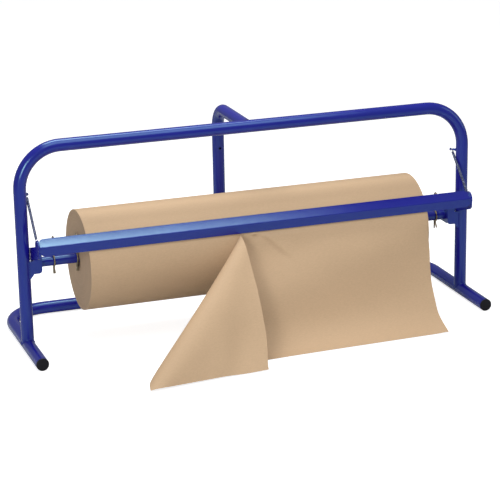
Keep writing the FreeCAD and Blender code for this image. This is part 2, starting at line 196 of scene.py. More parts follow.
def math_node(nt, op, a, b_=None):
    n = nt.nodes.new("ShaderNodeMath")
    n.operation = op
    for i, x in enumerate((a, b_)):
        if x is None:
            continue
        if isinstance(x, (int, float)):
            n.inputs[i].default_value = x
        else:
            nt.links.new(x, n.inputs[i])
    return n.outputs["Value"]


dy = math_node(nt, "SUBTRACT", sep.outputs["Y"], AX_Y)
dz = math_node(nt, "SUBTRACT", sep.outputs["Z"], AX_Z)
rad = math_node(nt, "SQRT", math_node(nt, "ADD", math_node(nt, "MULTIPLY", dy, dy), math_node(nt, "MULTIPLY", dz, dz)))
comb = nt.nodes.new("ShaderNodeCombineXYZ")
nt.links.new(rad, comb.inputs["X"])
rings = noise(nt, comb.outputs["Vector"], 900.0, 3.0, 0.7)
broad = noise(nt, comb.outputs["Vector"], 90.0, 2.0, 0.6)
geo = nt.nodes.new("ShaderNodeNewGeometry")
sepn = nt.nodes.new("ShaderNodeSeparateXYZ")
nt.links.new(geo.outputs["Normal"], sepn.inputs["Vector"])
on_end = math_node(nt, "GREATER_THAN", math_node(nt, "ABSOLUTE", sepn.outputs["X"]), 0.7)
ring_col = ramp(nt, rings, [(0.30, (0.78, 0.765, 0.75)), (0.70, (1.03, 1.03, 1.03))])
broad_col = ramp(nt, broad, [(0.30, (0.93, 0.925, 0.92)), (0.70, (1.03, 1.03, 1.03))])
mxa = nt.nodes.new("ShaderNodeMix")
mxa.data_type = "RGBA"
mxa.blend_type = "MULTIPLY"
nt.links.new(on_end, mxa.inputs["Factor"])
nt.links.new(col, mxa.inputs["A"])
nt.links.new(ring_col, mxa.inputs["B"])
mxb = nt.nodes.new("ShaderNodeMix")
mxb.data_type = "RGBA"
mxb.blend_type = "MULTIPLY"
nt.links.new(on_end, mxb.inputs["Factor"])
nt.links.new(mxa.outputs["Result"], mxb.inputs["A"])
nt.links.new(broad_col, mxb.inputs["B"])
nt.links.new(mxb.outputs["Result"], b.inputs["Base Color"])
ring_h = math_node(nt, "MULTIPLY", rings, on_end)
nr = bump(nt, ring_h, 0.35, 0.0008)
side_soft = noise(nt, oc, 7.0, 2.0, 0.5, stretch=(0.12, 1.0, 1.0))
nr = bump(nt, side_soft, 0.05, 0.010, nr)
nt.links.new(bump(nt, fibre, 0.10, 0.0003, nr), b.inputs["Normal"])

# cardboard core
core_m, nt, b = principled("core_board", (0.36, 0.27, 0.18), 0.8, spec=0.2)
oc = object_coords(nt)
nt.links.new(ramp(nt, noise(nt, oc, 240.0, 4.0), [(0.3, (0.30, 0.22, 0.145)), (0.7, (0.41, 0.31, 0.21))]), b.inputs["Base Color"])

SLOT_MAT = {"blue_coat": blue, "cap_plastic": cap, "zinc_steel": zinc, "spring_steel": spring_m,
            "clip_steel": clip_m, "bush_nylon": nylon, "kraft_paper": roll_m, "core_board": core_m}
slots = {s["node"]: s["material_slot"] for s in frame["record"]["subparts"]}
for node, obj in frame["nodes"].items():
    obj.data.materials.clear()
    obj.data.materials.append(SLOT_MAT[slots[node]])

# ---------------------------------------------------------------- mesh helpers
def new_mesh(name, verts, faces, mat, smooth=True, sharp_deg=None):
    me = bpy.data.meshes.new(name)
    me.from_pydata([tuple(map(float, v)) for v in verts], [], [tuple(map(int, f)) for f in faces])
    me.update()
    bm = bmesh.new()
    bm.from_mesh(me)
    bmesh.ops.recalc_face_normals(bm, faces=bm.faces)
    bm.to_mesh(me)
    bm.free()
    if smooth:
        me.polygons.foreach_set("use_smooth", [True] * len(me.polygons))
    if sharp_deg is not None:
        me.set_sharp_from_angle(angle=math.radians(sharp_deg))
    me.materials.append(mat)
    o = bpy.data.objects.new(name, me)
    scene.collection.objects.link(o)
    return o


def tube(points, radius, sides=8, closed=False, squash=None):
    """Swept round section along points; radius is a number or one value a point."""
    P = np.asarray(points, float)
    n = len(P)
    R = np.full(n, radius) if np.isscalar(radius) else np.asarray(radius, float)
    if closed:
        T = np.roll(P, -1, 0) - np.roll(P, 1, 0)
    else:
        T = np.gradient(P, axis=0)
    T /= np.linalg.norm(T, axis=1)[:, None]
    a = np.array([0.0, 0.0, 1.0]) if abs(T[0][2]) < 0.9 else np.array([1.0, 0.0, 0.0])
    nrm = np.cross(T[0], a)
    nrm /= np.linalg.norm(nrm)
    N = [nrm]
    for i in range(1, n):
        v = N[-1] - T[i] * N[-1].dot(T[i])
        N.append(v / np.linalg.norm(v))
    N = np.array(N)
    B = np.cross(T, N)
    if closed:
        # spread the closing twist over the loop
        v = N[-1] - T[0] * N[-1].dot(T[0])
        tw = math.atan2(v.dot(B[0]), v.dot(N[0]))
        ph = -tw * np.arange(n) / n
        N, B = (N * np.cos(ph)[:, None] + B * np.sin(ph)[:, None],
                B * np.cos(ph)[:, None] - N * np.sin(ph)[:, None])
    ang = np.arange(sides) * 2 * math.pi / sides
    V = (P[:, None, :] + R[:, None, None] * (N[:, None, :] * np.cos(ang)[None, :, None]
                                             + B[:, None, :] * np.sin(ang)[None, :, None])).reshape(-1, 3)
    F = []
    m = n if closed else n - 1
    for i in range(m):
        k = (i + 1) % n
        for j in range(sides):
            l = (j + 1) % sides
            F.append((i * sides + j, i * sides + l, k * sides + l, k * sides + j))
    V = list(V)
    if not closed:
        # domed ends
        for end, sgn in ((0, -1.0), (n - 1, 1.0)):
            base = end * sides
            ring = [P[end] + T[end] * sgn * R[end] * 0.45 + (V[base + j] - P[end]) * 0.75 for j in range(sides)]
            s0 = len(V)
            V += ring
            V.append(P[end] + T[end] * sgn * R[end] * 0.75)
            for j in range(sides):
                l = (j + 1) % sides
                F.append((base + j, base + l, s0 + l, s0 + j))
                F.append((s0 + j, s0 + l, s0 + sides))
    return V, F


def join(parts):
    V, F = [], []
    for v, f in parts:
        k = len(V)
        V += list(v)
        F += [tuple(i + k for i in q) for q in f]
    return V, F


# ---------------------------------------------------------------- loose sheet
# Flat it is 892 mm wide. u runs along the roll from the end of the tear, v down
# from the tearing edge, both in millimetres on the flat paper. The surface is a
# cubic spline net, in tenths of a millimetre.
U0, U1, V1 = -389.0, 503.0, 343.0
ROLL_C = (0.0160, 0.2158)
R_HUG = 0.12735
A_TEAR = math.radians(154.8)
A_START = math.radians(131.0)
# <net>
SHEET_NET = [
    [-688, -3598, 18, -838, -3620, 28, -1004, -3638, 29, -1192, -3652, 24, -1404, -3662, 19, -1641, -3673, 24, -1897, -3696, 40, -2150, -3725, 42, -2399, -3755, 41, -2650, -3790, 46, -2900, -3824, 48, -3150, -3857, 51, -3401, -3899, 56, -3649, -3955, 76, -3822, -3951, 62, -3907, -3937, 39],
    [-677, -3490, 139, -832, -3507, 146, -1002, -3523, 145, -1193, -3539, 134, -1407, -3561, 118, -1645, -3600, 106, -1897, -3656, 113, -2150, -3687, 112, -2401, -3710, 108, -2651, -3750, 116, -2902, -3785, 120, -3151, -3822, 122, -3400, -3873, 132, -3655, -3902, 142, -3825, -3876, 102, -3899, -3854, 58],
    [-664, -3376, 272, -822, -3389, 276, -995, -3401, 271, -1190, -3417, 257, -1410, -3445, 237, -1652, -3502, 226, -1900, -3577, 246, -2151, -3605, 249, -2404, -3626, 244, -2654, -3670, 254, -2904, -3711, 261, -3152, -3756, 269, -3410, -3788, 279, -3669, -3763, 242, -3813, -3714, 146, -3865, -3693, 76],
    [-649, -3254, 423, -806, -3263, 423, -981, -3271, 416, -1182, -3282, 402, -1412, -3308, 388, -1659, -3371, 401, -1903, -3449, 444, -2154, -3476, 449, -2407, -3507, 449, -2657, -3552, 461, -2908, -3592, 468, -3164, -3615, 467, -3423, -3586, 424, -3642, -3520, 293, -3743, -3481, 152, -3782, -3470, 79],
    [-638, -3125, 592, -784, -3130, 590, -957, -3131, 582, -1170, -3135, 570, -1415, -3162, 572, -1663, -3234, 607, -1905, -3307, 644, -2158, -3344, 648, -2410, -3385, 657, -2662, -3423, 664, -2919, -3439, 657, -3175, -3412, 613, -3400, -3345, 487, -3564, -3281, 293, -3639, -3256, 137, -3669, -3247, 54],
    [-637, -2989, 779, -757, -2991, 776, -925, -2988, 769, -1157, -2992, 762, -1418, -3032, 775, -1663, -3110, 812, -1908, -3171, 834, -2161, -3214, 846, -2414, -3251, 854, -2671, -3266, 847, -2928, -3241, 801, -3158, -3174, 685, -3326, -3107, 490, -3434, -3069, 251, -3460, -3093, 74, -3455, -3134, -12],
    [-646, -2851, 978, -738, -2851, 974, -905, -2851, 967, -1157, -2866, 965, -1419, -2918, 983, -1660, -2985, 1011, -1912, -3036, 1031, -2165, -3076, 1042, -2423, -3093, 1036, -2680, -3070, 993, -2913, -3004, 880, -3084, -2934, 687, -3183, -2904, 440, -3225, -2941, 179, -3212, -3054, 32, -3203, -3143, -5],
    [-649, -2713, 1173, -733, -2715, 1169, -905, -2721, 1163, -1161, -2747, 1167, -1413, -2798, 1187, -1660, -2855, 1212, -1915, -2900, 1226, -2172, -2920, 1223, -2431, -2899, 1183, -2667, -2835, 1075, -2841, -2762, 882, -2937, -2736, 635, -2979, -2776, 375, -2983, -2896, 140, -2969, -3048, 40, -2966, -3130, 15],
    [-645, -2573, 1362, -732, -2576, 1359, -904, -2586, 1357, -1158, -2620, 1367, -1410, -2672, 1389, -1663, -2720, 1407, -1921, -2745, 1409, -2181, -2728, 1374, -2420, -2666, 1270, -2598, -2593, 1080, -2696, -2564, 830, -2735, -2607, 573, -2748, -2708, 330, -2741, -2874, 129, -2730, -3031, 48, -2725, -3109, 13],
    [-645, -2429, 1550, -731, -2433, 1548, -903, -2448, 1549, -1157, -2488, 1564, -1411, -2536, 1583, -1668, -2568, 1591, -1930, -2558, 1563, -2173, -2498, 1465, -2356, -2423, 1278, -2456, -2392, 1030, -2495, -2433, 770, -2507, -2533, 530, -2511, -2667, 305, -2501, -2854, 125, -2491, -3012, 50, -2486, -3091, 14],
    [-645, -2278, 1733, -731, -2286, 1733, -904, -2305, 1737, -1157, -2347, 1754, -1414, -2387, 1768, -1677, -2386, 1750, -1926, -2331, 1661, -2114, -2255, 1480, -2218, -2219, 1231, -2257, -2258, 970, -2268, -2358, 728, -2273, -2485, 503, -2272, -2634, 288, -2262, -2833, 120, -2251, -2992, 48, -2246, -3072, 14],
    [-647, -2120, 1908, -733, -2132, 1912, -905, -2157, 1921, -1159, -2199, 1938, -1423, -2213, 1934, -1678, -2165, 1859, -1874, -2086, 1683, -1981, -2046, 1435, -2020, -2082, 1172, -2031, -2181, 929, -2034, -2312, 704, -2036, -2449, 484, -2034, -2604, 273, -2023, -2810, 113, -2012, -2972, 46, -2006, -3053, 14],
    [-650, -1960, 2082, -736, -1976, 2090, -905, -2008, 2104, -1165, -2035, 2112, -1430, -1999, 2056, -1636, -1918, 1889, -1746, -1873, 1641, -1785, -1907, 1377, -1794, -2006, 1132, -1796, -2137, 907, -1797, -2278, 687, -1798, -2416, 467, -1795, -2576, 259, -1783, -2788, 105, -1772, -2952, 43, -1766, -3034, 14],
    [-651, -1806, 2261, -736, -1821, 2268, -908, -1852, 2284, -1177, -1833, 2251, -1400, -1752, 2099, -1514, -1700, 1851, -1550, -1733, 1583, -1557, -1833, 1338, -1558, -1966, 1113, -1559, -2109, 894, -1560, -2248, 673, -1560, -2385, 451, -1557, -2549, 245, -1544, -2766, 97, -1533, -2932, 40, -1527, -3016, 14],
    [-654, -1650, 2441, -737, -1662, 2442, -924, -1664, 2441, -1162, -1588, 2312, -1286, -1524, 2063, -1315, -1559, 1792, -1319, -1665, 1548, -1320, -1801, 1324, -1320, -1948, 1107, -1321, -2088, 886, -1322, -2220, 660, -1322, -2355, 437, -1318, -2524, 233, -1305, -2744, 89, -1293, -2913, 37, -1287, -2997, 14],
    [-656, -1476, 2600, -749, -1475, 2595, -929, -1421, 2525, -1061, -1350, 2281, -1081, -1385, 2002, -1080, -1502, 1763, -1081, -1644, 1541, -1082, -1793, 1326, -1082, -1940, 1108, -1083, -2071, 881, -1084, -2193, 648, -1084, -2328, 424, -1079, -2500, 221, -1066, -2723, 80, -1054, -2894, 34, -1048, -2980, 14],
    [-671, -1261, 2722, -754, -1222, 2664, -839, -1170, 2494, -847, -1214, 2216, -839, -1347, 1981, -842, -1494, 1765, -843, -1644, 1548, -843, -1794, 1332, -843, -1934, 1109, -844, -2054, 875, -846, -2170, 638, -845, -2304, 413, -840, -2478, 211, -827, -2702, 71, -815, -2875, 29, -809, -2962, 13],
    [-621, -979, 2709, -618, -994, 2614, -610, -1054, 2438, -600, -1203, 2212, -605, -1351, 1996, -606, -1496, 1776, -606, -1647, 1558, -606, -1793, 1339, -605, -1924, 1109, -606, -2036, 870, -607, -2146, 630, -605, -2280, 403, -599, -2457, 203, -586, -2682, 63, -574, -2858, 26, -568, -2946, 16],
    [-360, -988, 2696, -358, -1021, 2614, -358, -1095, 2454, -364, -1221, 2227, -365, -1358, 1999, -365, -1505, 1780, -366, -1653, 1562, -366, -1793, 1338, -367, -1914, 1103, -369, -2018, 861, -370, -2126, 620, -369, -2260, 393, -363, -2439, 195, -352, -2666, 56, -341, -2841, 20, -336, -2930, 12],
    [-120, -996, 2703, -122, -1035, 2623, -123, -1103, 2460, -122, -1222, 2226, -123, -1365, 2002, -125, -1513, 1785, -126, -1658, 1565, -127, -1790, 1336, -128, -1902, 1097, -131, -2000, 852, -133, -2106, 610, -133, -2241, 383, -127, -2423, 188, -117, -2652, 54, -108, -2828, 20, -104, -2917, 14],
    [120, -990, 2700, 121, -1031, 2621, 120, -1105, 2461, 119, -1227, 2228, 117, -1371, 2006, 115, -1520, 1789, 114, -1661, 1566, 112, -1784, 1333, 110, -1888, 1090, 106, -1982, 843, 103, -2086, 600, 104, -2223, 375, 109, -2408, 182, 118, -2641, 54, 125, -2817, 23, 129, -2905, 14],
    [362, -993, 2701, 361, -1033, 2622, 361, -1107, 2462, 360, -1231, 2230, 358, -1378, 2010, 356, -1527, 1793, 354, -1662, 1566, 351, -1777, 1328, 348, -1873, 1082, 344, -1963, 835, 340, -2067, 591, 340, -2206, 367, 345, -2395, 178, 353, -2631, 56, 359, -2807, 25, 361, -2895, 14],
    [603, -992, 2700, 603, -1032, 2622, 602, -1108, 2462, 601, -1237, 2233, 598, -1386, 2014, 596, -1532, 1795, 594, -1660, 1564, 590, -1766, 1323, 586, -1857, 1075, 581, -1943, 826, 577, -2048, 583, 577, -2190, 359, 581, -2384, 175, 588, -2623, 59, 592, -2798, 27, 594, -2886, 14],
    [844, -992, 2701, 844, -1032, 2622, 843, -1110, 2463, 841, -1243, 2237, 839, -1392, 2018, 836, -1534, 1796, 833, -1654, 1561, 829, -1754, 1316, 824, -1839, 1067, 818, -1924, 817, 814, -2029, 574, 814, -2175, 353, 817, -2375, 175, 823, -2615, 64, 826, -2790, 29, 828, -2877, 14],
    [1085, -992, 2701, 1085, -1032, 2622, 1084, -1112, 2464, 1082, -1250, 2241, 1079, -1398, 2021, 1077, -1534, 1795, 1073, -1646, 1556, 1068, -1739, 1309, 1062, -1820, 1058, 1056, -1904, 808, 1051, -2011, 566, 1050, -2161, 348, 1054, -2366, 175, 1058, -2608, 68, 1060, -2782, 31, 1061, -2869, 15],
    [1326, -992, 2701, 1326, -1032, 2622, 1325, -1116, 2466, 1323, -1256, 2244, 1320, -1401, 2023, 1317, -1530, 1793, 1313, -1636, 1551, 1307, -1724, 1302, 1300, -1801, 1050, 1293, -1884, 799, 1288, -1994, 558, 1287, -2149, 343, 1290, -2358, 176, 1293, -2602, 72, 1294, -2774, 33, 1295, -2861, 15],
    [1567, -992, 2701, 1567, -1032, 2622, 1566, -1118, 2468, 1564, -1260, 2247, 1561, -1402, 2023, 1557, -1524, 1789, 1552, -1624, 1544, 1545, -1706, 1294, 1538, -1782, 1041, 1530, -1865, 791, 1525, -1978, 551, 1524, -2138, 339, 1526, -2351, 177, 1527, -2595, 76, 1528, -2767, 35, 1529, -2853, 15],
    [1808, -992, 2701, 1808, -1032, 2622, 1807, -1121, 2469, 1805, -1262, 2248, 1801, -1400, 2021, 1797, -1516, 1785, 1791, -1610, 1538, 1784, -1688, 1286, 1776, -1762, 1033, 1768, -1846, 783, 1763, -1963, 544, 1761, -2128, 336, 1761, -2344, 179, 1762, -2588, 79, 1763, -2760, 35, 1763, -2846, 15],
    [2049, -992, 2701, 2049, -1033, 2622, 2048, -1123, 2470, 2045, -1263, 2248, 2042, -1396, 2019, 2037, -1506, 1779, 2031, -1595, 1531, 2022, -1670, 1278, 2013, -1742, 1024, 2005, -1828, 774, 2000, -1949, 538, 1998, -2118, 334, 1997, -2337, 180, 1997, -2582, 82, 1997, -2753, 37, 1997, -2839, 15],
    [2290, -992, 2701, 2290, -1033, 2622, 2289, -1123, 2470, 2286, -1262, 2247, 2282, -1390, 2016, 2277, -1495, 1774, 2270, -1579, 1523, 2261, -1650, 1269, 2251, -1722, 1015, 2243, -1811, 767, 2237, -1936, 533, 2234, -2109, 332, 2233, -2330, 181, 2232, -2576, 84, 2231, -2746, 38, 2231, -2832, 15],
    [2531, -992, 2701, 2531, -1033, 2622, 2530, -1123, 2470, 2527, -1260, 2246, 2523, -1384, 2012, 2517, -1482, 1767, 2509, -1560, 1515, 2499, -1628, 1260, 2489, -1701, 1006, 2481, -1794, 759, 2474, -1924, 528, 2471, -2101, 330, 2469, -2323, 182, 2467, -2569, 86, 2466, -2739, 38, 2465, -2824, 15],
    [2772, -992, 2701, 2772, -1033, 2622, 2771, -1122, 2470, 2768, -1257, 2244, 2763, -1375, 2007, 2757, -1467, 1760, 2747, -1540, 1506, 2737, -1606, 1251, 2727, -1681, 998, 2718, -1779, 752, 2712, -1913, 524, 2708, -2092, 328, 2705, -2316, 182, 2702, -2562, 86, 2700, -2732, 39, 2699, -2817, 15],
    [3014, -992, 2701, 3013, -1032, 2622, 3012, -1122, 2470, 3009, -1253, 2242, 3004, -1365, 2001, 2996, -1450, 1752, 2986, -1518, 1497, 2975, -1583, 1242, 2965, -1661, 989, 2956, -1764, 746, 2949, -1903, 520, 2944, -2085, 326, 2940, -2308, 181, 2937, -2554, 85, 2934, -2724, 38, 2933, -2810, 15],
    [3254, -992, 2701, 3254, -1033, 2622, 3253, -1121, 2469, 3249, -1248, 2239, 3244, -1352, 1995, 3235, -1429, 1743, 3224, -1495, 1487, 3213, -1560, 1232, 3202, -1642, 981, 3194, -1751, 740, 3187, -1894, 517, 3181, -2077, 325, 3176, -2301, 179, 3172, -2547, 84, 3169, -2717, 38, 3167, -2803, 15],
    [3496, -992, 2701, 3496, -1033, 2622, 3494, -1121, 2469, 3490, -1241, 2236, 3484, -1335, 1987, 3474, -1405, 1733, 3463, -1469, 1477, 3451, -1537, 1222, 3441, -1624, 973, 3432, -1738, 735, 3424, -1885, 514, 3418, -2070, 324, 3412, -2293, 177, 3407, -2539, 81, 3403, -2710, 37, 3402, -2796, 15],
    [3736, -992, 2701, 3736, -1033, 2622, 3734, -1120, 2469, 3730, -1231, 2230, 3723, -1313, 1978, 3712, -1378, 1723, 3700, -1441, 1466, 3688, -1514, 1213, 3678, -1607, 966, 3669, -1728, 730, 3661, -1877, 512, 3654, -2062, 322, 3648, -2286, 176, 3641, -2531, 80, 3637, -2703, 36, 3635, -2789, 16],
    [3979, -992, 2700, 3979, -1034, 2623, 3977, -1119, 2467, 3972, -1215, 2222, 3963, -1284, 1967, 3951, -1346, 1711, 3939, -1414, 1456, 3928, -1492, 1204, 3917, -1591, 958, 3908, -1718, 727, 3900, -1869, 510, 3891, -2054, 319, 3885, -2279, 176, 3878, -2523, 77, 3873, -2694, 32, 3870, -2781, 13],
    [4218, -992, 2701, 4217, -1034, 2623, 4216, -1111, 2463, 4210, -1188, 2212, 4199, -1247, 1953, 4187, -1314, 1699, 4176, -1389, 1446, 4165, -1474, 1196, 4154, -1574, 951, 4145, -1710, 725, 4136, -1863, 508, 4127, -2043, 314, 4120, -2274, 177, 4112, -2519, 83, 4104, -2690, 39, 4101, -2776, 14],
    [4379, -992, 2701, 4379, -1033, 2621, 4377, -1099, 2457, 4368, -1157, 2202, 4356, -1217, 1943, 4346, -1293, 1691, 4336, -1377, 1440, 4324, -1465, 1192, 4313, -1563, 946, 4304, -1710, 727, 4295, -1863, 511, 4285, -2035, 310, 4278, -2272, 179, 4269, -2518, 93, 4261, -2691, 56, 4257, -2779, 36],
    [4461, -992, 2701, 4461, -1039, 2623, 4458, -1099, 2456, 4446, -1135, 2195, 4435, -1200, 1937, 4426, -1283, 1687, 4416, -1371, 1438, 4404, -1461, 1191, 4393, -1555, 941, 4384, -1714, 730, 4374, -1867, 515, 4364, -2027, 305, 4357, -2270, 180, 4348, -2516, 96, 4341, -2688, 49, 4334, -2772, 16],
]
# </net>


def cubic_basis(t, n, p=3):
    k = np.concatenate([np.zeros(p), np.linspace(0, 1, n - p + 1), np.ones(p)])
    t = np.clip(t, 0, 1 - 1e-12)
    Bm = np.zeros(t.shape + (len(k) - 1,))
    for i in range(len(k) - 1):
        Bm[..., i] = (t >= k[i]) & (t < k[i + 1])
    for d in range(1, p + 1):
        Bn = np.zeros(t.shape + (len(k) - 1 - d,))
        for i in range(len(k) - 1 - d):
            a = (t - k[i]) / (k[i + d] - k[i]) if k[i + d] > k[i] else 0
            c = (k[i + d + 1] - t) / (k[i + d + 1] - k[i + 1]) if k[i + d + 1] > k[i + 1] else 0
            Bn[..., i] = a * Bm[..., i] + c * Bm[..., i + 1]
        Bm = Bn
    return Bm


def smooth01(x):
    x = np.clip(x, 0.0, 1.0)
    return x * x * (3 - 2 * x)


def wobble(t, seed, amp, waves):
    r = random.Random(seed)
    out = np.zeros_like(t)
    for w in waves:
        out += np.sin(t * 2 * math.pi / w + r.uniform(0, 6.28)) * r.uniform(0.5, 1.0)
    return out * amp / len(waves)


def build_sheet():
    net = np.array(SHEET_NET, float)
    nu = net.shape[0]
    nv = net.shape[1] // 3
    net = net.reshape(nu, nv, 3) / 10.0
    U = np.concatenate([np.linspace(U0, 0, 97), np.linspace(0, U1, 124)[1:]])
    ia = 96
    V = np.concatenate([np.linspace(0, 24, 9)[:-1], np.linspace(24, V1, 76)])
    UU, VV = np.meshgrid(U, V, indexing="ij")
    # the torn edge of the free part is not quite straight
    v0 = 7.4 * np.clip((-U - 130) / 259.0, 0, 1) ** 2 + 3.0 * np.clip((-U - 130) / 259.0, 0, 1) ** 9
    v0 = v0 + np.where(U < 0, wobble(U, 5, 0.55, (61.0, 23.0, 9.5)) * smooth01(-U / 30.0), 0)
    VV = np.maximum(v0[:, None] + VV * (1 - v0[:, None] / V1), 0)
    Bu = cubic_basis((U - U0) / (U1 - U0), nu)
    Bv = cubic_basis(VV / V1, nv)
    X = np.einsum("ai,ijc,abj->abc", Bu, net, Bv)
    # upper row of the whole part lies on the windings
    ex = np.stack([TEAR_X + U, np.full_like(U, (ROLL_C[0] + R_HUG * math.cos(A_TEAR)) * 1000),
                   np.full_like(U, (ROLL_C[1] + R_HUG * math.sin(A_TEAR)) * 1000)], -1)
    X0 = np.einsum("ai,ijc,j->ac", Bu, net, cubic_basis(np.array(0.0), nv))
    d = ex - X0
    d[U < 0] = d[ia]
    wu = np.where(U >= 0, 1.0, smooth01(1 + U / 20.0))
    X += d[:, None, :] * wu[:, None, None] * np.exp(-(VV / 18.0) ** 2)[..., None]
    # the right edge hangs a little outwards below the windings
    X[..., 0] += 3.4 * np.exp(-((VV - 88.0) / 42.0) ** 2) * smooth01((UU - 200.0) / 303.0) ** 2
    # small buckle where the tear ends: a dimple beside it and a faint crease running down from it
    Tu = np.gradient(X, axis=0)
    Tv = np.gradient(X, axis=1)
    Nn = np.cross(Tu, Tv)
    Nn /= np.linalg.norm(Nn, axis=-1)[..., None] + 1e-12
    out = np.sign(Nn[..., 1:2].mean()) * -1.0
    Nn = Nn * out                                  # away from the roll
    across = (UU - 50.0) * 0.735 - (VV - 5.0) * 0.678       # signed distance from the crease
    along = (UU - 50.0) * 0.678 + (VV - 5.0) * 0.735
    step = 6.4 * smooth01(across / 13.0 + 0.5) * np.exp(-np.maximum(across, 0) / 60.0)
    step = step * smooth01(VV / 16.0) * np.exp(-(np.maximum(along - 55.0, 0) / 38.0) ** 2)
    buck = 6.5 * np.exp(-((UU - 31.0) / 8.0) ** 2 - ((VV - 4.5) / 4.2) ** 2) * smooth01(VV / 4.0)
    buck = buck - 4.5 * np.exp(-((UU - 33.0) / 9.0) ** 2 - ((VV - 12.5) / 5.5) ** 2)
    swell = 2.2 * np.exp(-((UU - 40.0) / 11.0) ** 2 - ((VV - 38.0) / 24.0) ** 2)
    X += Nn * ((step + buck + swell) * (UU > -1e-6))[..., None]
    # nothing inside the windings, nothing under the table
    ry, rz = X[..., 1] - ROLL_C[0] * 1000, X[..., 2] - ROLL_C[1] * 1000
    rr = np.hypot(ry, rz)
    k = np.maximum(R_HUG * 1000 - 0.05, rr) / rr
    inside = np.abs(X[..., 0]) < 452
    X[..., 1] = np.where(inside, ROLL_C[0] * 1000 + ry * k, X[..., 1])
    X[..., 2] = np.where(inside, ROLL_C[1] * 1000 + rz * k, X[..., 2])
    X[..., 2] = np.maximum(X[..., 2], 0.4)
    X /= 1000.0

    nU, nV = len(U), len(V)
    verts = list(X.reshape(-1, 3))
    idx = np.arange(nU * nV).reshape(nU, nV)
    faces = []
    for i in range(nU - 1):
        for j in range(nV - 1):
            faces.append((idx[i, j], idx[i, j + 1], idx[i + 1, j + 1], idx[i + 1, j]))
    # the part that stays on the windings, up to the tearing edge
    nh = 12
    hug = np.zeros((nU, nh + 1), int)
    rag = (wobble(U, 11, 0.0016, (47.0, 17.0, 7.0)) - 0.0016) * smooth01(-U / 12.0)
    for i in range(nU):
        for h in range(nh + 1):
            if h == nh and U[i] >= -1e-9:
                hug[i, h] = idx[i, 0]
                continue
            f = h / nh
            a = A_START + (A_TEAR - A_START) * f + (rag[i] / R_HUG) * f ** 4
            r = 0.12690 + (R_HUG - 0.12690) * float(smooth01(np.array(f / 0.55)))
            hug[i, h] = len(verts)
            verts.append(np.array([(TEAR_X + U[i]) / 1000.0, ROLL_C[0] + r * math.cos(a), ROLL_C[1] + r * math.sin(a)]))
    for i in range(nU - 1):
        for h in range(nh):
            faces.append((hug[i, h], hug[i, h + 1], hug[i + 1, h + 1], hug[i + 1, h]))
    P = np.array(verts)
    Fq = np.array(faces)
    n = np.cross(P[Fq[:, 2]] - P[Fq[:, 0]], P[Fq[:, 3]] - P[Fq[:, 1]])
    N = np.zeros_like(P)
    for c in range(4):
        np.add.at(N, Fq[:, c], n)
    N /= np.linalg.norm(N, axis=1)[:, None] + 1e-15
    t = 0.00015
    top, bot = P + N * t, P - N * t
    bot[:, 2] = np.maximum(bot[:, 2], 0.0002)
    top[:, 2] = np.maximum(top[:, 2], 0.0002)
    m = len(P)
    F = [tuple(q) for q in Fq] + [tuple(q[::-1] + m) for q in Fq]
    count = {}
    for q in Fq:
        for a, c in zip(q, np.roll(q, -1)):
            key = (min(a, c), max(a, c))
            count.setdefault(key, []).append((a, c))
    for key, e in count.items():
        if len(e) == 1:
            a, c = e[0]
            F.append((c, a, a + m, c + m))
    return np.concatenate([top, bot]), F


TEAR_X = -57.0
sv, sf = build_sheet()
sheet = new_mesh("loose_sheet", sv, sf, sheet_m, sharp_deg=50)
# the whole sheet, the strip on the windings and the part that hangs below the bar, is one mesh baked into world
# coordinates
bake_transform(sheet)
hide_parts("paper_sheet")


# ---------------------------------------------------------------- springs
def unit(v):
    v = np.asarray(v, float)
    return v / np.linalg.norm(v)


def spring_mesh(sx):
    """Close-wound coil with an open ring at each end, right side mirrored by sx."""
    t3 = np.array([573.8, 20.0, 397.0])
    h3 = np.array([575.0, -78.5, 301.0])
    u_ = unit(h3 - t3)
    sdir = unit([-20.2, 20.0, 0.0])
    nt_ = unit(sdir - u_ * sdir.dot(u_))
    ct = t3 + u_ * 0.35
    cb = h3 - u_ * 4.2
    wire = 0.65
    rm = 3.5 - wire
    e1 = unit(np.cross(u_, nt_))
    s0, s1 = 7.6, float((cb - ct).dot(u_)) - 5.2
    turns = int((s1 - s0) / 1.42)
    pts = []
    # upper ring, about 300 degrees round the stud, then the shank to the coil
    for a in np.linspace(-250, 62, 40):
        a = math.radians(a)
        pts.append(ct + 3.4 * (u_ * math.cos(a) + e1 * math.sin(a)))
    p_in = ct + u_ * 5.6 + e1 * 2.2
    pts.append(p_in)
    n = turns * 16
    coil = []
    a0 = math.radians(0)
    for i in range(n + 1):
        f = i / n
        a = a0 + 2 * math.pi * turns * f
        coil.append(ct + u_ * (s0 + (s1 - s0) * f) + rm * (e1 * math.cos(a) + nt_ * math.sin(a)))
    pts += coil
    # lower ring through the hole in the arm
    nb = unit(np.cross(u_, [1, 0, 0]))
    e2 = unit(np.cross(nb, u_))
    end = coil[-1]
    pts.append(cb - u_ * 5.2 * 0.9 + e2 * 2.9 * np.sign((end - cb).dot(e2) or 1))
    sg = np.sign((end - cb).dot(e2) or 1)
    for a in np.linspace(140, -150, 36):
        a = math.radians(a)
        pts.append(cb + 4.0 * (u_ * math.cos(a) + e2 * sg * math.sin(a)))
    P = np.array(pts) / 1000.0
    P[:, 0] *= sx
    return tube(P, wire / 1000.0, 7)


for sx, side in ((1, "right"), (-1, "left")):
    v, f = spring_mesh(sx)
    o = new_mesh("coil_spring_" + side, v, f, spring_m)
    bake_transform(o)
    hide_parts("spring_" + side)


